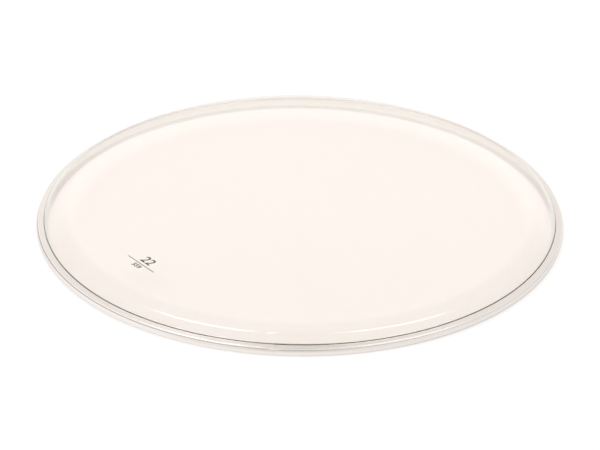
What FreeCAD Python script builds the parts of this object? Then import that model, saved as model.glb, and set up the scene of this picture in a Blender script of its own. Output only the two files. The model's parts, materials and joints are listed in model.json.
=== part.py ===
import FreeCAD, Part
import math
import os

# A clear drum head for a bass drum of 22 inches, lying with its playing side up.
# One formed plastic film is wrapped round a lock ring and crimped into a rolled aluminium hoop.
# Millimetres and degrees. The origin is the centre of the hoop's underside, and Z is the head's axis.

# Drum that the head goes on
SHELL_DIAMETER = 558.8
SHELL_CLEARANCE = 0.55

# Hoop, rolled from one aluminium strip, with its two ends butted
STRIP_THICKNESS = 0.8
HOOP_WIDTH = 9.55
INNER_BEND_RADIUS = 1.8
BEAD_RADIUS = 2.6
BEAD_FLAT = 1.1
SHOULDER_FLAT = 0.3
NECK_DEPTH = 1.5
NECK_BEND_RADIUS = 0.15
LIP_HEIGHT = 9.25
LIP_BEND_RADIUS = 0.1
LIP_ANGLE = 9.0
SLOT_GAP = 0.25
INNER_WALL_RISE = 0.8
JOINT_AZIMUTH = 264.8
JOINT_GAP = 0.1

# Film, a single ply of polyester
FILM_THICKNESS = 0.25
PLAYING_HEIGHT = 20.5
COLLAR_ANGLE = 52.0
CREASE_RADIUS = 6.0
FOOT_RADIUS = 2.0
HEM_HEIGHT = 4.5

# Lock ring, an extruded plastic strip that the film's edge is wrapped round
LOCK_CREST_RADIUS = 0.5
NOSE_RISE = 0.45
NOSE_EDGE_SHARE = 0.4
NOSE_ROOT_RADIUS = 0.2

# Splice, a strip inside the hoop's bead that bridges its butted ends
SPLICE_LENGTH = 44.0
SPLICE_HEIGHT = 2.8
SPLICE_EDGE_SHARE = 0.3

# Room left between pieces that lie against each other
FIT_GAP = 0.05

RING_SECTORS = 8
RIGHT_ANGLE = 90.0
HALF_TURN = 180.0
FULL_TURN = 360.0
CENTRE = FreeCAD.Vector(0, 0, 0)
AXIS = FreeCAD.Vector(0, 0, 1)

# Distances from the axis that several pieces share, from the inside of the hoop outwards
hoop_inside = SHELL_DIAMETER / 2 + SHELL_CLEARANCE
skirt_inside = hoop_inside + STRIP_THICKNESS + FIT_GAP
skirt_middle = skirt_inside + FILM_THICKNESS / 2
skirt_outside = skirt_inside + FILM_THICKNESS
lock_inside = skirt_outside + FIT_GAP
lip_tip = skirt_outside + SLOT_GAP
hoop_outside = hoop_inside + HOOP_WIDTH
neck_outside = hoop_outside - NECK_DEPTH
lock_outside = neck_outside - STRIP_THICKNESS - FIT_GAP
hem_middle = lock_outside + FIT_GAP + FILM_THICKNESS / 2
hem_outside = hem_middle + FILM_THICKNESS / 2

# Heights of what lies on the channel's floor, and the bend that lets it clear the channel's inner corner
hem_floor = STRIP_THICKNESS + FIT_GAP + FILM_THICKNESS / 2
lock_floor = STRIP_THICKNESS + FIT_GAP + FILM_THICKNESS + FIT_GAP
lock_bend = INNER_BEND_RADIUS - FIT_GAP - FILM_THICKNESS - FIT_GAP


def below_lip(radius, depth):
    """Height, at a distance from the axis, of a line parallel to the lip's upper face and that deep under it."""
    lip = math.radians(LIP_ANGLE)
    return LIP_HEIGHT + (neck_outside - radius) * math.tan(lip) - depth / math.cos(lip)


# Heights at the slot, where the film leaves the hoop between the lip's inner edge and the inner wall
lip_edge = below_lip(lip_tip, 0)
wall_top = lip_edge + INNER_WALL_RISE


def point(radius, height):
    """A point of a cross-section, in the half-plane through the axis and +X."""
    return FreeCAD.Vector(radius, 0, height)


def left_of(direction):
    """Direction a quarter turn anticlockwise of another, seen with +X right and +Z up."""
    return FreeCAD.Vector(-direction.z, 0, direction.x)


def heading(start, end):
    """Unit direction from one point to another."""
    return (end - start).normalize()


def rounded_corner(before, corner, after, radius):
    """Start, middle and end of the arc that rounds a corner, each as a place and a heading."""
    arriving = heading(before, corner)
    leaving = heading(corner, after)
    halfway = (arriving + leaving).normalize()
    reach = radius * math.tan(arriving.getAngle(leaving) / 2)
    side = math.copysign(radius, left_of(arriving).dot(leaving))
    start = corner - arriving * reach
    hub = start + left_of(arriving) * side
    middle = hub - left_of(halfway) * side
    end = corner + leaving * reach
    return [(start, arriving), (middle, halfway), (end, leaving)]


def side_edges(stations, offset):
    """Lines and arcs along a route of stations, moved to its left by an offset, with their two end points."""
    places = [place + left_of(direction) * offset for place, direction in stations]
    edges = [Part.LineSegment(places[0], places[1]).toShape()]
    for i in range(1, len(places) - 1, 3):
        edges.append(Part.Arc(*places[i:i + 3]).toShape())
        edges.append(Part.LineSegment(places[i + 2], places[i + 3]).toShape())
    return edges, places[0], places[-1]


def cut_end(start, end, outwards):
    """Square end of a strip."""
    return Part.LineSegment(start, end).toShape()


def round_end(start, end, outwards):
    """Half-round end of a strip."""
    crown = (start + end) / 2 + outwards * (start.distanceToPoint(end) / 2)
    return Part.Arc(start, crown, end).toShape()


def bent_strip(corners, bends, thickness, end_edge):
    """Cross-section of a strip of even thickness, its middle following corners rounded by the bends' radii."""
    first = heading(corners[0], corners[1])
    last = heading(corners[-2], corners[-1])
    stations = [(corners[0], first)]
    for i, radius in enumerate(bends):
        stations += rounded_corner(*corners[i:i + 3], radius)
    stations.append((corners[-1], last))
    left, left_start, left_end = side_edges(stations, thickness / 2)
    right, right_start, right_end = side_edges(stations, -thickness / 2)
    ends = [end_edge(left_start, right_start, -first), end_edge(left_end, right_end, last)]
    return Part.Face(Part.Wire(Part.__sortEdges__(left + right + ends)))


def rounded_section(corners, radii):
    """Cross-section with straight sides and rounded corners."""
    befores = corners[-1:] + corners[:-1]
    afters = corners[1:] + corners[:1]
    arcs = []
    for before, corner, after, radius in zip(befores, corners, afters, radii):
        arcs.append([place for place, _ in rounded_corner(before, corner, after, radius)])
    edges = []
    for i, arc in enumerate(arcs):
        edges.append(Part.LineSegment(arcs[i - 1][-1], arc[0]).toShape())
        edges.append(Part.Arc(*arc).toShape())
    return Part.Face(Part.Wire(Part.__sortEdges__(edges)))


def turned(section, start, sweep):
    """Solid made by turning a cross-section about the axis, from an azimuth through a sweep."""
    return section.revolve(CENTRE, AXIS, sweep).rotate(CENTRE, AXIS, start)


def split_ring(section, azimuth, gap):
    """Ring that is cut through at an azimuth, with a gap between its two ends.

    It is turned in equal sectors that are joined end to end, so that no face runs far round the axis.
    """
    opening = math.degrees(gap / hoop_outside)
    sweep = (FULL_TURN - opening) / RING_SECTORS
    start = azimuth + opening / 2
    sectors = [turned(section, start + i * sweep, sweep) for i in range(RING_SECTORS)]
    return sectors[0].multiFuse(sectors[1:]).Solids[0]


def hoop_channel():
    """Channel of inner wall, floor and half-round bead, necked in under a lip that slopes up to the film.

    The bead's shoulder turns in by the angle at which its bend, its flat and the neck's bend together span
    the neck's depth.
    """
    half = STRIP_THICKNESS / 2
    inner_wall = hoop_inside + half
    outer_wall = hoop_outside - half
    neck = neck_outside - half
    tip = lip_tip + half
    inner_bend = INNER_BEND_RADIUS + half
    bead_bend = BEAD_RADIUS + half
    neck_bend = NECK_BEND_RADIUS + half
    both_bends = bead_bend + neck_bend
    turn = math.acos((both_bends - NECK_DEPTH) / math.hypot(both_bends, SHOULDER_FLAT))
    turn -= math.atan2(SHOULDER_FLAT, both_bends)
    shoulder = half + bead_bend + BEAD_FLAT + bead_bend * math.tan(turn / 2)
    corners = [
        point(inner_wall, wall_top - half),
        point(inner_wall, half),
        point(outer_wall, half),
        point(outer_wall, shoulder),
        point(neck, shoulder + NECK_DEPTH / math.tan(turn)),
        point(neck, below_lip(neck, half)),
        point(tip, below_lip(tip, half)),
    ]
    bends = [inner_bend, bead_bend, bead_bend, neck_bend, LIP_BEND_RADIUS + half]
    strip = bent_strip(corners, bends, STRIP_THICKNESS, round_end)
    return split_ring(strip, JOINT_AZIMUTH, JOINT_GAP)


def drum_film():
    """Clear film: playing area, rounded crease, steep collar, skirt in the slot and hem round the lock ring."""
    top = PLAYING_HEIGHT - FILM_THICKNESS / 2
    foot = wall_top + FOOT_RADIUS * math.tan(math.radians(RIGHT_ANGLE - COLLAR_ANGLE) / 2)
    crease = skirt_middle - (top - foot) / math.tan(math.radians(COLLAR_ANGLE))
    corners = [
        point(0, top),
        point(crease, top),
        point(skirt_middle, foot),
        point(skirt_middle, hem_floor),
        point(hem_middle, hem_floor),
        point(hem_middle, hem_floor + HEM_HEIGHT),
    ]
    wrap = lock_bend + FIT_GAP + FILM_THICKNESS / 2
    bends = [CREASE_RADIUS, FOOT_RADIUS, wrap, wrap]
    return turned(bent_strip(corners, bends, FILM_THICKNESS, cut_end), 0, FULL_TURN)


def lock_ring():
    """Plastic ring in the channel, under the lip, with a nose that stands out of the slot beside the film.

    Its butted ends lie opposite the hoop's joint.
    """
    depth = STRIP_THICKNESS + FIT_GAP
    nose_outside = lip_tip - FIT_GAP
    nose_top = lip_edge + NOSE_RISE
    nose_edge = NOSE_EDGE_SHARE * (nose_outside - lock_inside)
    corners = [
        point(lock_inside, lock_floor),
        point(lock_outside, lock_floor),
        point(lock_outside, below_lip(lock_outside, depth)),
        point(nose_outside, below_lip(nose_outside, depth)),
        point(nose_outside, nose_top),
        point(lock_inside, nose_top),
    ]
    radii = [lock_bend, lock_bend, LOCK_CREST_RADIUS, NOSE_ROOT_RADIUS, nose_edge, nose_edge]
    return split_ring(rounded_section(corners, radii), JOINT_AZIMUTH + HALF_TURN, JOINT_GAP)


def joint_splice():
    """Short aluminium strip across the hoop's joint, as thick as the room between the hem and the bead.

    Its upper and lower edges lie on the bead's bends, so its outer face is a chord of the bead's inside.
    """
    bead_hub = hoop_outside - STRIP_THICKNESS - BEAD_RADIUS
    on_bend = (SPLICE_HEIGHT - BEAD_FLAT) / 2
    outside = bead_hub + math.sqrt((BEAD_RADIUS - FIT_GAP) ** 2 - on_bend ** 2)
    inside = hem_outside + FIT_GAP
    base = STRIP_THICKNESS + BEAD_RADIUS - on_bend
    top = base + SPLICE_HEIGHT
    corners = [point(inside, base), point(outside, base), point(outside, top), point(inside, top)]
    edge = SPLICE_EDGE_SHARE * (outside - inside)
    section = rounded_section(corners, [edge] * len(corners))
    sweep = math.degrees(SPLICE_LENGTH / outside)
    return turned(section, JOINT_AZIMUTH - sweep / 2, sweep)


PIECES = {
    "hoop_channel": hoop_channel,
    "drum_film": drum_film,
    "lock_ring": lock_ring,
    "joint_splice": joint_splice,
}

os.makedirs("parts", exist_ok=True)
for name, make in PIECES.items():
    piece = make()
    assert piece.isValid() and piece.Volume > 0, name
    piece.exportStep(f"parts/{name}.step")
    box = piece.optimalBoundingBox(False)
    print(f"{name}: {piece.Volume:.0f} mm3, z {box.ZMin:.2f} to {box.ZMax:.2f}, {box.XLength:.1f} wide")
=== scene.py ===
import json
import math

import bmesh
import bpy
import numpy as np
from mathutils import Matrix, Vector


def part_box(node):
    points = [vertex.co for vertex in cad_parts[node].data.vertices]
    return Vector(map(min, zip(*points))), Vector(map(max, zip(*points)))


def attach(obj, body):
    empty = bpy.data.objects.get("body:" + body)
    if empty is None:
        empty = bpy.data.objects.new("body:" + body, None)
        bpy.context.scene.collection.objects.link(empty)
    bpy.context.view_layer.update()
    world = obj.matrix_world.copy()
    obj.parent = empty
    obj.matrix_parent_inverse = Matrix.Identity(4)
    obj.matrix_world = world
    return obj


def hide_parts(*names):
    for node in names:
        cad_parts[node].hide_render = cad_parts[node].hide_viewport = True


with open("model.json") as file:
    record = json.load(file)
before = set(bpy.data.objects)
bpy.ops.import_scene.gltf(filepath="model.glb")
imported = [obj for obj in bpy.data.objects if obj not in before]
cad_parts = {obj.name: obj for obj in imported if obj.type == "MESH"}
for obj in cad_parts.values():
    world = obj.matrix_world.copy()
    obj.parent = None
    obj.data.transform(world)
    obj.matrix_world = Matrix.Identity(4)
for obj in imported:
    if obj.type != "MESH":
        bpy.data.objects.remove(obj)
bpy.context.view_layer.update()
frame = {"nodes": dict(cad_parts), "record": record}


# Hoop: one strip of bright aluminium, rolled to a channel with a half-round outer wall, the bead, and bent round to
# a ring whose ends butt together. Above the bead it is necked in, and folded over as a lip that slopes up to the
# film and nips it. Lengths in this file are in millimetres until a mesh is made, and bends go to the strip's middle.
MM = 0.001
mounts = {mount["name"]: mount for mount in frame["record"]["mounts"]}
hoop_inside = mounts["shell_seat"]["dims"]["r_mm"]
hoop_outside = mounts["counterhoop_guide"]["dims"]["r_mm"]
strip_thickness = 0.8
inner_bend = 2.2
bead_bend = 3.0
bead_flat = 1.1
shoulder_flat = 0.3
neck_depth = 1.5
neck_bend = 0.55
lip_corner_height = 9.25
lip_bend = 0.5
lip_angle = math.radians(9.0)
inner_wall_rise = 0.8
fit_gap = 0.05
film_thickness = 0.25
slot_gap = 0.2
joint_azimuth = math.radians(264.8)
joint_gap = 0.1
joint_rounding = 0.2
lip_layer = 1.5 * strip_thickness
lip_end_pull = 0.5
lip_end_length = 50.0
left_azimuth = math.radians(182.0)
# Painted shade along the neck's crease.
painted_shade_width = 0.4
painted_shade_spread = 0.35
spread_sharpness = 12
painted_shade_rise = 0.4
painted_shade_run_in = 9.0
painted_shade_mean = 0.45
painted_shade_swing = 0.4
darkest_shade_azimuth = math.radians(215.0)
# Painted shade on the lower part of the bead.
bead_painted_shade = 0.2
bead_shade_front = 0.6
bead_shade_swing = 0.8
bead_shade_top = 1.5
bead_shade_fade = 2.5
bead_shade_inset = 1.0
# Painted light on the hoop's inner wall: how far out it is full, and how far it then fades.
lit_wall_depth = 1.0
lit_wall_fade = 1.0
strip_light, strip_dark = "#f9f3ef", "#ede7e3"
lit_wall_colour = "#f3f4f2"
# Colour of the painted shade in the crease and on the bead.
painted_shade_colour = "#6d6a67"
glancing_tint = "#ebe9e6"
roll_line_length, roll_line_spacing = 60.0, 0.35
noise_low, noise_high = 0.3, 0.7
ring_columns = 580
crowding_at_cut = 0.97
wall_spacing, shoulder_spacing, neck_spacing = 4.0, 0.1, 0.2
arc_step = math.radians(9.0)
cap_points = 9
edge_support = 0.06


def left_of(directions):
    """Directions a quarter turn anticlockwise of others: (x, y) becomes (-y, x)."""
    return np.stack([-directions[..., 1], directions[..., 0]], axis=-1)


def corner_arc(before, corner, after, radius):
    """Places and headings on the arc that rounds a corner.

    The heading turns evenly from the arriving one to the leaving one, and each place lies one radius
    from the arc's hub, on the side away from the turn.
    """
    arriving = (corner - before) / np.linalg.norm(corner - before)
    leaving = (after - corner) / np.linalg.norm(after - corner)
    turn = math.atan2(left_of(arriving) @ leaving, arriving @ leaving)
    angles = np.linspace(0.0, turn, 2 + math.ceil(abs(turn) / arc_step))
    headings = np.cos(angles)[:, None] * arriving + np.sin(angles)[:, None] * left_of(arriving)
    side = math.copysign(radius, turn)
    hub = corner - arriving * radius * math.tan(abs(turn) / 2) + left_of(arriving) * side
    return hub - left_of(headings) * side, headings


def straight_run(start, end, spacing):
    """Places and headings between two points, evenly spaced.

    The first and last lie close beside the two points, so that smooth shading stays flat in between.
    """
    length = np.linalg.norm(end - start)
    heading = (end - start) / length
    inner = np.linspace(edge_support, length - edge_support, 2 + int(length / spacing))
    return start + inner[:, None] * heading, np.tile(heading, (len(inner), 1))


def bent_route(corners, bends, spacing):
    """Places and headings along straight runs that are joined by tangent arcs, one arc for each inner corner.

    The spacing of the places is one length for all the runs, or one for each.
    """
    corners = np.array(corners, float)
    arcs = [corner_arc(*corners[i:i + 3], radius) for i, radius in enumerate(bends)]
    starts = [corners[0]] + [places[-1] for places, _ in arcs]
    ends = [places[0] for places, _ in arcs] + [corners[-1]]
    spacings = np.broadcast_to(spacing, len(starts))
    runs = [straight_run(*run) for run in zip(starts, ends, spacings)]
    first = (corners[:1], runs[0][1][:1])
    last = (corners[-1:], runs[-1][1][-1:])
    inner = [part for pair in zip(runs, arcs) for part in pair] + [runs[-1]]
    stations = [first] + inner + [last]
    return np.concatenate([s[0] for s in stations]), np.concatenate([s[1] for s in stations])


def round_cap(place, heading, half):
    """Half circle round a strip's end, from its left side to its right side, without the two end points."""
    angles = np.linspace(math.pi / 2, -math.pi / 2, cap_points)[1:-1, None]
    return place + half * (np.cos(angles) * heading + np.sin(angles) * left_of(heading))


def strip_outline(places, headings, thickness):
    """Closed outline of a strip of even thickness with half-round ends, which runs clockwise.

    It goes out along the strip's left side and back along its right side.
    """
    half = thickness / 2
    offset = left_of(headings) * half
    far_cap = round_cap(places[-1], headings[-1], half)
    near_cap = round_cap(places[0], -headings[0], half)
    return np.concatenate([places + offset, far_cap, (places - offset)[::-1], near_cap])


def inward(outline):
    """Unit directions into a clockwise outline.

    Each is a quarter turn right of the run from the neighbour before a point to the neighbour after it.
    """
    run = np.roll(outline, -1, axis=0) - np.roll(outline, 1, axis=0)
    return -left_of(run) / np.linalg.norm(run, axis=1, keepdims=True)


def ring_azimuths(cut, gap):
    """Azimuths round a ring from one side of its cut to the other.

    A sine eases their spacing, so that they crowd together at the cut and spread out opposite it.
    """
    even = np.linspace(0.0, 1.0, ring_columns + 1)
    eased = even - crowding_at_cut * np.sin(2 * math.pi * even) / (2 * math.pi)
    opening = gap / hoop_outside
    return cut + opening / 2 + eased * (2 * math.pi - opening)


def signed_volume(points, triangles):
    """Volume that triangles enclose: a sixth of the sum of their corners' triple products."""
    a, b, c = (points[triangles[:, i]] for i in range(3))
    return np.einsum("ij,ij->i", a, np.cross(b, c)).sum() / 6


def mesh_piece(name, points, faces, uvs, material):
    """Object with a smooth-shaded mesh, in metres, whose faces point outwards.

    Faces and their corners' UVs come in blocks of one kind of polygon. All are turned round where the volume that
    they enclose comes out negative. UVs stay in millimetres. Faces with more than four corners, such as a ring's
    flat ends, are cut into triangles.
    """
    fans = [block[:, [0, i, i + 1]] for block in faces for i in range(1, block.shape[1] - 1)]
    turn = 1 if signed_volume(points, np.concatenate(fans)) > 0 else -1
    polygons = [polygon for block in faces for polygon in block[:, ::turn].tolist()]
    corner_uvs = np.concatenate([block[:, ::turn].reshape(-1, 2) for block in uvs])
    mesh = bpy.data.meshes.new(name)
    mesh.from_pydata((points * MM).tolist(), [], polygons)
    mesh.uv_layers.new(name="surface_mm").data.foreach_set("uv", corner_uvs.ravel())
    surface = bmesh.new()
    surface.from_mesh(mesh)
    end_faces = [face for face in surface.faces if len(face.verts) > 4]
    bmesh.ops.triangulate(surface, faces=end_faces, ngon_method="BEAUTY")
    surface.to_mesh(mesh)
    surface.free()
    mesh.shade_smooth()
    mesh.materials.append(material)
    piece = bpy.data.objects.new(name, mesh)
    bpy.context.scene.collection.objects.link(piece)
    return piece


def cut_ring(name, outlines, azimuths, material):
    """Ring with flat ends, whose closed outline at each azimuth is given.

    A point of an outline goes to (r cos a, r sin a, z). U is the length round the ring, and V the length
    round the outline.
    """
    radii, heights = outlines[..., 0], outlines[..., 1]
    points = np.stack([radii * np.cos(azimuths)[:, None], radii * np.sin(azimuths)[:, None], heights], axis=-1)
    columns, rows = radii.shape
    column, row = np.meshgrid(np.arange(columns - 1), np.arange(rows), indexing="ij")
    after = (row + 1) % rows
    quads = np.stack([column * rows + row, (column + 1) * rows + row,
                      (column + 1) * rows + after, column * rows + after], axis=-1)
    ends = np.stack([np.arange(rows)[::-1], (columns - 1) * rows + np.arange(rows)])
    along = (azimuths - azimuths[0]) * hoop_outside
    steps = np.linalg.norm(np.roll(outlines[0], -1, axis=0) - outlines[0], axis=1)
    across = np.concatenate([[0.0], np.cumsum(steps)])
    u = np.stack([along[column], along[column + 1], along[column + 1], along[column]], axis=-1)
    v = np.stack([across[row], across[row], across[row + 1], across[row + 1]], axis=-1)
    quad_uvs = np.stack([u, v], axis=-1).reshape(-1, 4, 2)
    end_uvs = np.stack([outlines[0, ::-1], outlines[-1]])
    return mesh_piece(name, points.reshape(-1, 3), [quads.reshape(-1, 4), ends], [quad_uvs, end_uvs], material)


def linear(colour):
    """Linear RGBA of an sRGB hex colour: a straight foot near black, and above it a power of 2.4."""
    srgb = np.array([int(colour[i:i + 2], 16) for i in (1, 3, 5)]) / 255
    return (*np.where(srgb <= 0.04045, srgb / 12.92, ((srgb + 0.055) / 1.055) ** 2.4), 1.0)


def add_node(tree, kind, settings, inputs):
    """New node with its settings, and with each input linked to a socket or set to a value."""
    node = tree.nodes.new(kind)
    for name, value in settings.items():
        setattr(node, name, value)
    for name, value in inputs.items():
        if isinstance(value, bpy.types.NodeSocket):
            tree.links.new(value, node.inputs[name])
        else:
            node.inputs[name].default_value = value
    return node


def new_material(name):
    """Material with an empty node tree, and that tree."""
    material = bpy.data.materials.new(name)
    material.use_nodes = True
    material.node_tree.nodes.clear()
    return material, material.node_tree


def rolled_aluminium(name, light, dark, coordinates, scale):
    """Mill-finish aluminium strip, bright from the rolls.

    Fine lines run along the strip, where the rolls drew it, so the gloss spreads across the strip more than along it,
    and is a little uneven. The lines are drawn wider apart than the real ones, which are too fine to show. Painted
    light makes the hoop's inner wall lighter and cooler in tone. Painted shade darkens the metal where the mesh has
    the attribute for it.
    """
    material, tree = new_material(name)
    place = add_node(tree, "ShaderNodeTexCoord", {}, {})
    drawn = add_node(tree, "ShaderNodeMapping", {}, {"Vector": place.outputs[coordinates], "Scale": scale})
    lines = add_node(tree, "ShaderNodeTexNoise", {}, {
        "Vector": drawn.outputs["Vector"], "Scale": 1.0, "Detail": 3.0, "Roughness": 0.6})
    aged = add_node(tree, "ShaderNodeMix", {"data_type": "RGBA"}, {
        "Factor": lines.outputs["Fac"], "A": linear(dark), "B": linear(light)})
    from_centre = add_node(tree, "ShaderNodeVectorMath", {"operation": "LENGTH"}, {0: place.outputs["Object"]})
    # Painted light: the inner wall gets a lighter, cooler colour.
    lit_wall = add_node(tree, "ShaderNodeMapRange", {}, {
        "Value": from_centre.outputs["Value"],
        "From Min": (hoop_inside + lit_wall_depth + lit_wall_fade) * MM,
        "From Max": (hoop_inside + lit_wall_depth) * MM})
    metal = add_node(tree, "ShaderNodeMix", {"data_type": "RGBA"}, {
        "Factor": lit_wall.outputs["Result"], "A": aged.outputs["Result"], "B": linear(lit_wall_colour)})
    # Painted shade, carried by a mesh attribute, darkens the metal.
    painted_shade = add_node(tree, "ShaderNodeAttribute", {"attribute_name": "crease_grime"}, {})
    tone = add_node(tree, "ShaderNodeMix", {"data_type": "RGBA"}, {
        "Factor": painted_shade.outputs["Fac"], "A": metal.outputs["Result"], "B": linear(painted_shade_colour)})
    gloss = add_node(tree, "ShaderNodeMapRange", {}, {
        "Value": lines.outputs["Fac"], "From Min": noise_low, "From Max": noise_high, "To Min": 0.22, "To Max": 0.32})
    along = add_node(tree, "ShaderNodeTangent", {"direction_type": "RADIAL", "axis": "Z"}, {})
    relief = add_node(tree, "ShaderNodeBump", {}, {
        "Height": lines.outputs["Fac"], "Strength": 0.25, "Distance": 0.02 * MM})
    surface = add_node(tree, "ShaderNodeBsdfPrincipled", {}, {
        "Base Color": tone.outputs["Result"], "Metallic": 1.0, "Roughness": gloss.outputs["Result"],
        "Specular Tint": linear(glancing_tint), "Anisotropic": 0.6, "Anisotropic Rotation": 0.25,
        "Tangent": along.outputs["Tangent"], "Normal": relief.outputs["Normal"]})
    add_node(tree, "ShaderNodeOutputMaterial", {}, {"Surface": surface.outputs["BSDF"]})
    return material


def lip_height(radius, depth):
    """Height of a line parallel to the lip's upper face, that deep under it, at a distance from the axis."""
    return lip_corner_height + (neck_outside - radius) * math.tan(lip_angle) - depth / math.cos(lip_angle)


half_strip = strip_thickness / 2
skirt_inside = hoop_inside + strip_thickness + fit_gap
skirt_outside = skirt_inside + film_thickness
neck_outside = hoop_outside - neck_depth
lip_tip = skirt_outside + slot_gap
lip_edge = lip_height(lip_tip, 0.0)
wall_top = lip_edge + inner_wall_rise
inner_wall = hoop_inside + half_strip
outer_wall = hoop_outside - half_strip
neck = neck_outside - half_strip
tip_middle = lip_tip + half_strip

# The shoulder turns so far that its two arcs and the flat between them step in by the neck's depth.
both_bends = bead_bend + neck_bend
shoulder_turn = math.acos((both_bends - neck_depth) / math.hypot(both_bends, shoulder_flat))
shoulder_turn -= math.atan2(shoulder_flat, both_bends)
bead_flat_top = half_strip + bead_bend + bead_flat
shoulder_height = bead_flat_top + bead_bend * math.tan(shoulder_turn / 2)
neck_height = shoulder_height + neck_depth / math.tan(shoulder_turn)

# The strip's section runs down the inner wall, under the channel, up the bead and the neck, and in along the lip.
# Its rows are close together from the shoulder to the lip, where the painted shade is.
hoop_corners = [
    (inner_wall, wall_top - half_strip),
    (inner_wall, half_strip),
    (outer_wall, half_strip),
    (outer_wall, shoulder_height),
    (neck, neck_height),
    (neck, lip_height(neck, half_strip)),
    (tip_middle, lip_height(tip_middle, half_strip)),
]
hoop_bends = [inner_bend, bead_bend, bead_bend, neck_bend, lip_bend]
hoop_spacings = [wall_spacing, wall_spacing, wall_spacing, shoulder_spacing, neck_spacing, wall_spacing]
hoop_outline = strip_outline(*bent_route(hoop_corners, hoop_bends, hoop_spacings), strip_thickness)
hoop_radii, hoop_heights = hoop_outline[:, 0], hoop_outline[:, 1]
hoop_azimuths = ring_azimuths(joint_azimuth, joint_gap)
from_first_end = (hoop_azimuths - hoop_azimuths[0]) * hoop_outside
from_joint = np.minimum(from_first_end, from_first_end[-1] - from_first_end)

# At the joint the outline shrinks by a quarter circle's inset, which rounds the strip's cut edges.
rounding = np.clip(joint_rounding - from_joint, 0.0, None)
inset = joint_rounding - np.sqrt(joint_rounding ** 2 - rounding ** 2)
hoop_outlines = hoop_outline + inset[:, None, None] * inward(hoop_outline)

# On the right of the joint the lip's edge is pulled outwards, less and less along the ring.
lip_share = np.clip((neck_outside - hoop_radii) / (neck_outside - lip_tip), 0.0, 1.0)
lip_share[hoop_heights < lip_height(hoop_radii, lip_layer)] = 0.0
lip_share[hoop_radii < skirt_inside] = 0.0
lip_pull = lip_end_pull * np.exp(-from_first_end / lip_end_length)
hoop_outlines[..., 0] += lip_pull[:, None] * lip_share

# Painted shade lies along the neck's crease: broadest and lowest at the left, darkest at the front left,
# none at the joint.
neck_crease_height = neck_height + half_strip * math.tan(shoulder_turn / 2)
leaning = np.cos(hoop_azimuths - left_azimuth)
at_left = np.clip(leaning, 0.0, 1.0)
painted_shade_reach = painted_shade_width + painted_shade_spread * at_left ** spread_sharpness
painted_shade_middle = neck_crease_height + painted_shade_rise * (1 - at_left)
run_in = np.clip(from_joint / painted_shade_run_in, 0.0, 1.0)
unevenness = painted_shade_mean + painted_shade_swing * np.cos(hoop_azimuths - darkest_shade_azimuth)
from_crease = np.hypot(hoop_radii - neck_outside, hoop_heights - painted_shade_middle[:, None])
crease_grime = (run_in * unevenness)[:, None] * np.exp(-(from_crease / painted_shade_reach[:, None]) ** 2)

# A trace of the same painted shade darkens the lower part of the bead, most at the right.
low_on_bead = np.clip((bead_flat_top + bead_shade_top - hoop_heights) / bead_shade_fade, 0.0, 1.0)
low_on_bead *= hoop_radii > neck_outside - bead_shade_inset
bead_shade = bead_painted_shade * np.clip(bead_shade_front - bead_shade_swing * leaning, 0.0, 1.0)[:, None] * low_on_bead
crease_grime = np.maximum(crease_grime, bead_shade)

roll_lines = (1 / roll_line_length, 1 / roll_line_spacing, 1.0)
hoop_metal = rolled_aluminium("rolled_aluminium", strip_light, strip_dark, "UV", roll_lines)
hoop = cut_ring("hoop", hoop_outlines, hoop_azimuths, hoop_metal)
hoop.data.attributes.new("crease_grime", "FLOAT", "POINT").data.foreach_set("value", crease_grime.ravel())
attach(hoop, "root")
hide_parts("hoop_channel")


# Splice: a short strip of the same aluminium, pressed into the bead behind the hoop's butted ends.
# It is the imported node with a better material, because only a thread of it shows, through the joint.
splice_light, splice_dark = "#dcd7d0", "#c7c2bb"
cut_line_length, cut_line_spacing = 30.0, 0.5
cut_lines = (1 / (cut_line_length * MM), 1 / (cut_line_spacing * MM), 1 / (cut_line_spacing * MM))
splice_metal = rolled_aluminium("cut_aluminium", splice_light, splice_dark, "Object", cut_lines)
splice = frame["nodes"]["joint_splice"]
splice.data.materials.clear()
splice.data.materials.append(splice_metal)


# Lock ring: black plastic, extruded, bent round inside the channel with the film's edge wrapped round it.
# Its nose fills the slot between the film and the lip and stands out of it as a thin dark line.
lock_bend = inner_bend - half_strip - fit_gap - film_thickness - fit_gap
lock_crest = 0.5
nose_rise = 0.06
nose_unevenness = 0.04
nose_waves = 4
nose_edge = 0.06
nose_root = 0.2
lock_inside = skirt_outside + fit_gap
lock_outside = neck_outside - strip_thickness - fit_gap
lock_floor = strip_thickness + fit_gap + film_thickness + fit_gap
nose_outside = lip_tip - fit_gap
nose_top = lip_edge + nose_rise
under_lip = strip_thickness + fit_gap
lock_black, lock_dust = "#453a32", "#65584e"
die_line_length, die_line_spacing = 40.0, 0.4


def rounded_outline(corners, radii):
    """Closed outline with straight sides, whose corners are rounded by tangent arcs."""
    corners = np.array(corners, float)
    befores = np.roll(corners, 1, axis=0)
    afters = np.roll(corners, -1, axis=0)
    arcs = [corner_arc(*place, radius)[0] for place, radius in zip(zip(befores, corners, afters), radii)]
    return np.concatenate(arcs)


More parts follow.
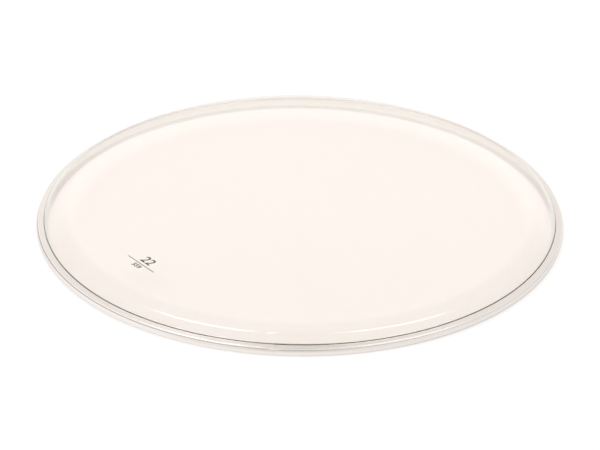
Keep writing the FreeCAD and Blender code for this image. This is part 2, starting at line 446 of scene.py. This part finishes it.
def extruded_plastic(name, colour, dusty, scale):
    """Black PVC, extruded: satin, with faint die lines along its length and a little dust in them.

    The lines are drawn wider apart than the real ones, which are too fine to show.
    """
    material, tree = new_material(name)
    place = add_node(tree, "ShaderNodeTexCoord", {}, {})
    drawn = add_node(tree, "ShaderNodeMapping", {}, {"Vector": place.outputs["UV"], "Scale": scale})
    lines = add_node(tree, "ShaderNodeTexNoise", {}, {"Vector": drawn.outputs["Vector"], "Scale": 1.0, "Detail": 2.0})
    tone = add_node(tree, "ShaderNodeMix", {"data_type": "RGBA"}, {
        "Factor": lines.outputs["Fac"], "A": linear(colour), "B": linear(dusty)})
    relief = add_node(tree, "ShaderNodeBump", {}, {
        "Height": lines.outputs["Fac"], "Strength": 0.3, "Distance": 0.02 * MM})
    surface = add_node(tree, "ShaderNodeBsdfPrincipled", {}, {
        "Base Color": tone.outputs["Result"], "Roughness": 0.55, "IOR": 1.53, "Normal": relief.outputs["Normal"]})
    add_node(tree, "ShaderNodeOutputMaterial", {}, {"Surface": surface.outputs["BSDF"]})
    return material


lock_corners = [
    (lock_inside, lock_floor),
    (lock_outside, lock_floor),
    (lock_outside, lip_height(lock_outside, under_lip)),
    (nose_outside, lip_height(nose_outside, under_lip)),
    (nose_outside, nose_top),
    (lock_inside, nose_top),
]
lock_outline = rounded_outline(lock_corners, [lock_bend, lock_bend, lock_crest, nose_root, nose_edge, nose_edge])
lock_azimuths = ring_azimuths(joint_azimuth + math.pi, joint_gap)
lock_outlines = np.tile(lock_outline, (len(lock_azimuths), 1, 1))
standing_out = lock_outline[:, 1] > lip_edge
lock_outlines[:, standing_out, 1] += nose_unevenness * np.sin(nose_waves * lock_azimuths - math.pi / 2)[:, None]
die_lines = (1 / die_line_length, 1 / die_line_spacing, 1.0)
lock_plastic = extruded_plastic("black_pvc", lock_black, lock_dust, die_lines)
lock = cut_ring("lock", lock_outlines, lock_azimuths, lock_plastic)
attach(lock, "root")
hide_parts("lock_ring")


# Film: one ply of clear polyester, heat-formed into a flat playing area that falls a little at its edge, a rounded
# crease with a small dent by the hoop's joint, and a steep collar. The skirt goes down the slot, and the hem is
# wrapped under the lock ring and up its outer side.
playing_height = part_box("drum_film")[1][2] / MM
ink_thickness = 0.02
fall_start = 256.0
edge_fall = 0.3
fall_bend = 700.0
collar_angle = math.radians(52.0)
crease_radius = 8.0
foot_radius = 2.0
hem_height = 4.5
dent_azimuth = math.radians(263.1)
dent_depth = 0.5
dent_width = 6.0
dent_run_in = 10.0
dent_run_out = 4.0
film_row_spacing = 12.0
# The film's tint, and a darker one towards the rim that is painted shade.
film_tint, rim_shade_tint = "#fffefd", "#fdfcfb"
ripple_width = 60.0
heat_and_shade_start, heat_and_shade_full = 250.0, 264.0
heat_roughness = 0.16
face_on_share = 0.053
glance_power = 5.0
half_film = film_thickness / 2
film_top = playing_height - ink_thickness - half_film
skirt_middle = skirt_inside + half_film
hem_middle = lock_outside + fit_gap + half_film
hem_floor = strip_thickness + fit_gap + half_film
hem_wrap = lock_bend + fit_gap + half_film
foot_height = wall_top + foot_radius * math.tan((math.pi / 2 - collar_angle) / 2)
film_edge_height = film_top - edge_fall
film_edge = skirt_middle - (film_edge_height - foot_height) / math.tan(collar_angle)
film_corners = [
    (0.0, film_top),
    (fall_start, film_top),
    (film_edge, film_edge_height),
    (skirt_middle, foot_height),
    (skirt_middle, hem_floor),
    (hem_middle, hem_floor),
    (hem_middle, hem_floor + hem_height),
]
film_bends = [fall_bend, crease_radius, foot_radius, hem_wrap, hem_wrap]


def film_outline():
    """Outline of the film from the axis on its upper side, round the hem's cut edge, back to the axis below.

    The route's second point, close beside the axis, is left out, because the triangles there would be too small.
    """
    route = bent_route(film_corners, film_bends, film_row_spacing)
    places, headings = (np.delete(stations, 1, axis=0) for stations in route)
    offset = left_of(headings) * half_film
    return np.concatenate([places + offset, (places - offset)[::-1]])


def turned_disc(name, outlines, azimuths, material):
    """Disc whose outline from axis to axis is given at each azimuth of a full turn.

    A point of an outline goes to (r cos a, r sin a, z). Quads join the outlines, and a fan of triangles closes each
    end on the axis. U and V are the distances along X and Y.
    """
    radii, heights = outlines[:, 1:-1, 0], outlines[:, 1:-1, 1]
    columns, rows = radii.shape
    rings = np.stack([radii * np.cos(azimuths)[:, None], radii * np.sin(azimuths)[:, None], heights], axis=-1)
    poles = [[0.0, 0.0, outlines[0, 0, 1]], [0.0, 0.0, outlines[0, -1, 1]]]
    points = np.concatenate([rings.reshape(-1, 3), poles])
    column, row = np.meshgrid(np.arange(columns), np.arange(rows - 1), indexing="ij")
    after = (column + 1) % columns
    here, beside = column * rows + row, after * rows + row
    quads = np.stack([here, beside, beside + 1, here + 1], axis=-1)
    first = np.arange(columns) * rows
    following = np.roll(first, -1)
    top_fan = np.stack([np.full(columns, columns * rows), following, first], axis=1)
    bottom_fan = np.stack([np.full(columns, columns * rows + 1), first + rows - 1, following + rows - 1], axis=1)
    faces = [quads.reshape(-1, 4), top_fan, bottom_fan]
    return mesh_piece(name, points, faces, [points[block][..., :2] for block in faces], material)


def clear_polyester(name, tint, rim_shade, ripple):
    """Clear polyester film: light goes straight through it, a little warmed, and each face mirrors a share.

    The mirrored share is about a twentieth face-on, and grows to all of the light with the fifth power of how far the
    face is turned away. Slow ripples, as wide apart as the film's own slack, bend the reflections a little. Outside
    the flat playing area the forming heat left it less glossy, and painted shade darkens its tint a little.
    """
    material, tree = new_material(name)
    place = add_node(tree, "ShaderNodeTexCoord", {}, {})
    slack = add_node(tree, "ShaderNodeTexNoise", {}, {
        "Vector": place.outputs["Object"], "Scale": 1 / (ripple * MM), "Detail": 1.0})
    relief = add_node(tree, "ShaderNodeBump", {}, {
        "Height": slack.outputs["Fac"], "Strength": 0.2, "Distance": 0.05 * MM})
    gloss = add_node(tree, "ShaderNodeMapRange", {}, {
        "Value": slack.outputs["Fac"], "From Min": noise_low, "From Max": noise_high, "To Min": 0.03, "To Max": 0.06})
    from_centre = add_node(tree, "ShaderNodeVectorMath", {"operation": "LENGTH"}, {0: place.outputs["Object"]})
    rim_heat_and_shade = add_node(tree, "ShaderNodeMapRange", {"interpolation_type": "SMOOTHSTEP"}, {
        "Value": from_centre.outputs["Value"], "From Min": heat_and_shade_start * MM, "From Max": heat_and_shade_full * MM})
    roughness = add_node(tree, "ShaderNodeMath", {"operation": "MULTIPLY_ADD"}, {
        0: rim_heat_and_shade.outputs["Result"], 1: heat_roughness, 2: gloss.outputs["Result"]})
    facing = add_node(tree, "ShaderNodeLayerWeight", {}, {"Blend": 0.5})
    glance = add_node(tree, "ShaderNodeMath", {"operation": "POWER"}, {0: facing.outputs["Facing"], 1: glance_power})
    share = add_node(tree, "ShaderNodeMath", {"operation": "MULTIPLY_ADD"}, {
        0: glance.outputs[0], 1: 1 - face_on_share, 2: face_on_share})
    mirror = add_node(tree, "ShaderNodeBsdfPrincipled", {}, {
        "Base Color": linear("#ffffff"), "Metallic": 1.0, "Roughness": roughness.outputs[0],
        "Normal": relief.outputs["Normal"]})
    # Painted shade: towards the rim the tint lets a little less light through.
    clearness = add_node(tree, "ShaderNodeMix", {"data_type": "RGBA"}, {
        "Factor": rim_heat_and_shade.outputs["Result"], "A": linear(tint), "B": linear(rim_shade)})
    through = add_node(tree, "ShaderNodeBsdfTransparent", {}, {"Color": clearness.outputs["Result"]})
    both = add_node(tree, "ShaderNodeMixShader", {}, {
        0: share.outputs[0], 1: through.outputs["BSDF"], 2: mirror.outputs["BSDF"]})
    add_node(tree, "ShaderNodeOutputMaterial", {}, {"Surface": both.outputs["Shader"]})
    return material


film_plastic = clear_polyester("clear_polyester", film_tint, rim_shade_tint, ripple_width)
even_film = film_outline()
film_azimuths = ring_azimuths(dent_azimuth, 0.0)[:-1]

# Round the rim the dent is a bell curve. Across it, it deepens from the playing area's edge and ends above the foot.
past_dent = (film_azimuths - dent_azimuth) * hoop_inside
from_dent = np.minimum(past_dent, 2 * math.pi * hoop_inside - past_dent)
dent_share = np.clip((even_film[:, 0] - fall_start) / dent_run_in, 0.0, 1.0)
dent_share *= np.clip((even_film[:, 1] - wall_top) / dent_run_out, 0.0, 1.0)
film_outlines = np.tile(even_film, (len(film_azimuths), 1, 1))
film_outlines[..., 1] -= dent_depth * np.exp(-(from_dent / dent_width) ** 2)[:, None] * dent_share
film = turned_disc("film", film_outlines, film_azimuths, film_plastic)
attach(film, "root")
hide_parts("drum_film")


# Size print: the drum's diameter as plain figures, inches over millimetres with a thin rule between them, in dark ink
# that is screen-printed on the film's upper face near the rim. The figures stand with their feet to the rim.
print_radius = 212.0
print_azimuth = math.radians(218.5)
inch_figures, inch_height, inch_rise = "22", 17.0, 6.0
millimetre_figures, millimetre_height, millimetre_rise = "559", 8.5, -9.0
rule_length, rule_width, rule_rise = 46.0, 0.9, -3.2
stroke_swell = 0.15
merging_distance = ink_thickness / 10
ink_dark, ink_worn = "#211e1b", "#38342f"
ink_grain = 1.5


def figures(body, height, rise):
    """Mesh of figures as thick as the ink, centred on a line that lies that far above the print's middle."""
    words = bpy.data.curves.new("figures", "FONT")
    words.body = body
    words.size = height * MM
    words.extrude = ink_thickness / 2 * MM
    words.offset = stroke_swell * MM
    words.align_x, words.align_y = "CENTER", "CENTER"
    holder = bpy.data.objects.new("figures", words)
    bpy.context.scene.collection.objects.link(holder)
    seen = holder.evaluated_get(bpy.context.evaluated_depsgraph_get())
    mesh = bpy.data.meshes.new_from_object(seen)
    mesh.transform(Matrix.Translation((0.0, rise * MM, 0.0)))
    bpy.data.objects.remove(holder)
    return mesh


def screen_ink(name, colour, worn, grain):
    """Dark ink pushed through a screen: matt, and a little uneven where the mesh of the screen left less of it."""
    material, tree = new_material(name)
    place = add_node(tree, "ShaderNodeTexCoord", {}, {})
    cover = add_node(tree, "ShaderNodeTexNoise", {}, {"Vector": place.outputs["Object"], "Scale": 1 / (grain * MM)})
    tone = add_node(tree, "ShaderNodeMix", {"data_type": "RGBA"}, {
        "Factor": cover.outputs["Fac"], "A": linear(colour), "B": linear(worn)})
    surface = add_node(tree, "ShaderNodeBsdfPrincipled", {}, {"Base Color": tone.outputs["Result"], "Roughness": 0.6})
    add_node(tree, "ShaderNodeOutputMaterial", {}, {"Surface": surface.outputs["BSDF"]})
    return material


ink = bmesh.new()
ink.from_mesh(figures(inch_figures, inch_height, inch_rise))
ink.from_mesh(figures(millimetre_figures, millimetre_height, millimetre_rise))
rule_place = Matrix.Translation((0.0, rule_rise * MM, 0.0))
rule_size = Vector((rule_length, rule_width, ink_thickness)) * MM
bmesh.ops.create_cube(ink, matrix=rule_place @ Matrix.Diagonal((*rule_size, 1.0)))
bmesh.ops.remove_doubles(ink, verts=ink.verts, dist=merging_distance * MM)
bmesh.ops.recalc_face_normals(ink, faces=ink.faces)
print_mesh = bpy.data.meshes.new("size_print")
ink.to_mesh(print_mesh)
ink.free()
print_height = playing_height - ink_thickness / 2
print_place = Vector((
    print_radius * math.cos(print_azimuth), print_radius * math.sin(print_azimuth), print_height))
print_turn = Matrix.Rotation(print_azimuth + math.pi / 2, 4, "Z")
print_mesh.transform(Matrix.Translation(print_place * MM) @ print_turn)
print_mesh.materials.append(screen_ink("screen_ink", ink_dark, ink_worn, ink_grain))
size_print = bpy.data.objects.new("size_print", print_mesh)
bpy.context.scene.collection.objects.link(size_print)

# The floor's own light drowns the shadow of so small a print.
size_print.visible_shadow = False
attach(size_print, "root")


# Floor: a sheet of opal white acrylic with painted light: it glows faintly under the head and strongly round it, so
# that the head lies on a white ground and casts hardly a shadow. A band of its light is given by two distances in
# from the hoop's inner wall: where it starts and where it is full.
floor_half_width = 6000.0
floor_drop = 0.05
floor_white, floor_cloud = "#eeeae8", "#eae6e4"
cloud_width = 400.0
# Round the head the acrylic is painted darker, under its strongest painted light.
paint_round_head = "#9a9a9a"
glow_tint, glow_tint_round_head = "#fffaf8", "#ffffff"
glow_under_head = 0.088
glow_at_sides = 0.03
glow_in_shade = 0.14
glow_round_head = 0.66
side_band = (12.0, 0.0)
shade_band = (40.0, 4.0)
foot_band = (1.5, 3.5)
round_band = (0.5, -1.5)
front_to_back_share = 0.93
back_start, back_full = -100.0, 60.0


def lit_acrylic(name, colour, cloud, mottle):
    """Opal white acrylic, matt, with the faintest mottle and a glow of painted light.

    Under the head the glow is weak and warm. Towards the hoop it dies away as painted shade, but only at the left
    and right, because lengths front to back count for less. It grows as painted light where the hoop shades the floor
    at the back, except at the hoop's foot, which keeps a darker line of painted shade. Round the head it is white and
    strong, over darker paint, and drowns the shadows.
    """
    material, tree = new_material(name)
    place = add_node(tree, "ShaderNodeTexCoord", {}, {})
    clouds = add_node(tree, "ShaderNodeTexNoise", {}, {"Vector": place.outputs["Object"], "Scale": 1 / (mottle * MM)})
    tone = add_node(tree, "ShaderNodeMix", {"data_type": "RGBA"}, {
        "Factor": clouds.outputs["Fac"], "A": linear(colour), "B": linear(cloud)})
    from_centre = add_node(tree, "ShaderNodeVectorMath", {"operation": "LENGTH"}, {0: place.outputs["Object"]})
    narrowed = add_node(tree, "ShaderNodeMapping", {}, {
        "Vector": place.outputs["Object"], "Scale": (1.0, front_to_back_share, 1.0)})
    to_sides = add_node(tree, "ShaderNodeVectorMath", {"operation": "LENGTH"}, {0: narrowed.outputs["Vector"]})
    # Painted shade: the glow falls away towards the hoop at the left and right.
    under_head = add_node(tree, "ShaderNodeMapRange", {"interpolation_type": "SMOOTHSTEP"}, {
        "Value": to_sides.outputs["Value"],
        "From Min": (hoop_inside - side_band[0]) * MM, "From Max": (hoop_inside - side_band[1]) * MM,
        "To Min": glow_under_head, "To Max": glow_at_sides})
    axes = add_node(tree, "ShaderNodeSeparateXYZ", {}, {"Vector": place.outputs["Object"]})
    at_back = add_node(tree, "ShaderNodeMapRange", {"interpolation_type": "SMOOTHSTEP"}, {
        "Value": axes.outputs["Y"], "From Min": back_start * MM, "From Max": back_full * MM})
    # Painted light where the hoop shades the floor at the back.
    in_shade = add_node(tree, "ShaderNodeMapRange", {"interpolation_type": "SMOOTHSTEP"}, {
        "Value": from_centre.outputs["Value"],
        "From Min": (hoop_inside - shade_band[0]) * MM, "From Max": (hoop_inside - shade_band[1]) * MM,
        "To Max": glow_in_shade})
    # Painted shade: no extra glow right at the hoop's foot, which leaves a darker line there.
    off_foot = add_node(tree, "ShaderNodeMapRange", {}, {
        "Value": from_centre.outputs["Value"],
        "From Min": (hoop_inside - foot_band[0]) * MM, "From Max": (hoop_inside - foot_band[1]) * MM})
    shade_light = add_node(tree, "ShaderNodeMath", {"operation": "MULTIPLY"}, {
        0: in_shade.outputs["Result"], 1: off_foot.outputs["Result"]})
    under_light = add_node(tree, "ShaderNodeMath", {"operation": "MULTIPLY_ADD"}, {
        0: at_back.outputs["Result"], 1: shade_light.outputs[0], 2: under_head.outputs["Result"]})
    # Painted light round the head, strong and white, which drowns the shadows.
    round_head = add_node(tree, "ShaderNodeMapRange", {}, {
        "Value": from_centre.outputs["Value"],
        "From Min": (hoop_inside - round_band[0]) * MM, "From Max": (hoop_inside - round_band[1]) * MM})
    glow = add_node(tree, "ShaderNodeMath", {"operation": "MULTIPLY_ADD"}, {
        0: round_head.outputs["Result"], 1: glow_round_head, 2: under_light.outputs[0]})
    paint = add_node(tree, "ShaderNodeMix", {"data_type": "RGBA"}, {
        "Factor": round_head.outputs["Result"], "A": tone.outputs["Result"], "B": linear(paint_round_head)})
    warmth = add_node(tree, "ShaderNodeMix", {"data_type": "RGBA"}, {
        "Factor": round_head.outputs["Result"], "A": linear(glow_tint), "B": linear(glow_tint_round_head)})
    surface = add_node(tree, "ShaderNodeBsdfPrincipled", {}, {
        "Base Color": paint.outputs["Result"], "Roughness": 1.0, "Specular IOR Level": 0.0,
        "Emission Color": warmth.outputs["Result"], "Emission Strength": glow.outputs[0]})
    add_node(tree, "ShaderNodeOutputMaterial", {}, {"Surface": surface.outputs["BSDF"]})
    return material


floor_mesh = bpy.data.meshes.new("floor")
floor_corners = np.array([(-1, -1, 0), (1, -1, 0), (1, 1, 0), (-1, 1, 0)]) * floor_half_width - (0, 0, floor_drop)
floor_mesh.from_pydata((floor_corners * MM).tolist(), [], [(0, 1, 2, 3)])
floor_mesh.materials.append(lit_acrylic("lit_acrylic", floor_white, floor_cloud, cloud_width))
floor = bpy.data.objects.new("floor", floor_mesh)
bpy.context.scene.collection.objects.link(floor)


# Light: two soft boxes overhead, in a white room that is a little darker behind the camera and to the right. The
# ceiling is greyer, most of all between the boxes, and so is the wall at the back above a sheet of white paper, which
# is brightest low down behind the head. A box has its place, its depth front to back, its width and its watts.
soft_boxes = {
    "left_soft_box": ((-840.0, 200.0, 2500.0), 1150.0, 980.0, 12.5),
    "right_soft_box": ((930.0, 100.0, 2500.0), 680.0, 1200.0, 9.6),
}
room_strength = 1.06
paper_lift = 0.11
left_white = "#fffdfb"
right_grey = "#ebe9e6"
front_grey = "#eae7e3"
paper_white = "#ffffff"
back_grey = "#eeecea"
ceiling_grey, ceiling_dark = "#e5e3e0", "#c2bfbb"

# Each part of the room starts and is full where a unit direction from the head leans that much right, back, up or
# to either side.
room_parts = {
    "right_side": ("right", -0.6, 0.6),
    "front": ("back", -0.2, -0.8),
    "back": ("back", 0.1, 0.5),
    "behind_head": ("back", 0.6, 0.85),
    "low_down": ("up", 0.35, 0.26),
    "above_paper": ("up", 0.47, 0.56),
    "overhead": ("up", 0.7, 0.85),
    "between_boxes": ("sideways", 0.25, 0.08),
}

for name, (place, depth, width, watts) in soft_boxes.items():
    lamp = bpy.data.lights.new(name, "AREA")
    lamp.shape = "RECTANGLE"
    lamp.size, lamp.size_y = depth * MM, width * MM
    lamp.energy = watts
    box = bpy.data.objects.new(name, lamp)
    box.location = Vector(place) * MM
    box.rotation_euler = (-box.location).to_track_quat("-Z", "Y").to_euler()
    bpy.context.scene.collection.objects.link(box)

room = bpy.data.worlds.new("white_room")
room.use_nodes = True
air = room.node_tree
air.nodes.clear()
looking = add_node(air, "ShaderNodeTexCoord", {}, {})
axes = add_node(air, "ShaderNodeSeparateXYZ", {}, {"Vector": looking.outputs["Generated"]})
sideways = add_node(air, "ShaderNodeMath", {"operation": "ABSOLUTE"}, {0: axes.outputs["X"]})
directions = {
    "right": axes.outputs["X"],
    "back": axes.outputs["Y"],
    "up": axes.outputs["Z"],
    "sideways": sideways.outputs[0],
}
shares = {}
for name, (direction, start, full) in room_parts.items():
    ramp = add_node(air, "ShaderNodeMapRange", {"interpolation_type": "SMOOTHSTEP"}, {
        "Value": directions[direction], "From Min": start, "From Max": full})
    shares[name] = ramp.outputs["Result"]
low_paper = add_node(air, "ShaderNodeMath", {"operation": "MULTIPLY"}, {
    0: shares["low_down"], 1: shares["behind_head"]})
bare_wall = add_node(air, "ShaderNodeMath", {"operation": "MULTIPLY"}, {
    0: shares["above_paper"], 1: shares["back"]})
ceiling = add_node(air, "ShaderNodeMix", {"data_type": "RGBA"}, {
    "Factor": shares["between_boxes"], "A": linear(ceiling_grey), "B": linear(ceiling_dark)})
coats = [
    (shares["right_side"], linear(right_grey)),
    (shares["front"], linear(front_grey)),
    (low_paper.outputs[0], linear(paper_white)),
    (bare_wall.outputs[0], linear(back_grey)),
    (shares["overhead"], ceiling.outputs["Result"]),
]
tone = linear(left_white)
for share, coat in coats:
    coated = add_node(air, "ShaderNodeMix", {"data_type": "RGBA"}, {"Factor": share, "A": tone, "B": coat})
    tone = coated.outputs["Result"]
brightness = add_node(air, "ShaderNodeMath", {"operation": "MULTIPLY_ADD"}, {
    0: low_paper.outputs[0], 1: paper_lift, 2: room_strength})
glow = add_node(air, "ShaderNodeBackground", {}, {"Color": tone, "Strength": brightness.outputs[0]})
add_node(air, "ShaderNodeOutputWorld", {}, {"Surface": glow.outputs["Background"]})
bpy.context.scene.world = room
bpy.context.scene.view_settings.view_transform = "Standard"


# Camera: a long lens from the front, well above the head, turned a little about its own axis.
# It looks at a point on the floor just in front of the head's middle.
camera_distance = 3456.0
camera_elevation = math.radians(28.794)
camera_roll = math.radians(0.5)
camera_aim = Vector((0.206, -7.985, 0.0))
camera_reach = 50000.0
camera_data = bpy.data.cameras.new("camera")
camera_data.sensor_width = 36.0
camera_data.lens = 188.37
camera_data.clip_end = camera_reach * MM
camera = bpy.data.objects.new("camera", camera_data)
back = Vector((0.0, -math.cos(camera_elevation), math.sin(camera_elevation)))
turn = Matrix.Rotation(math.pi / 2 - camera_elevation, 4, "X") @ Matrix.Rotation(camera_roll, 4, "Z")
camera.matrix_world = Matrix.Translation((camera_aim + back * camera_distance) * MM) @ turn
bpy.context.scene.collection.objects.link(camera)
bpy.context.scene.camera = camera
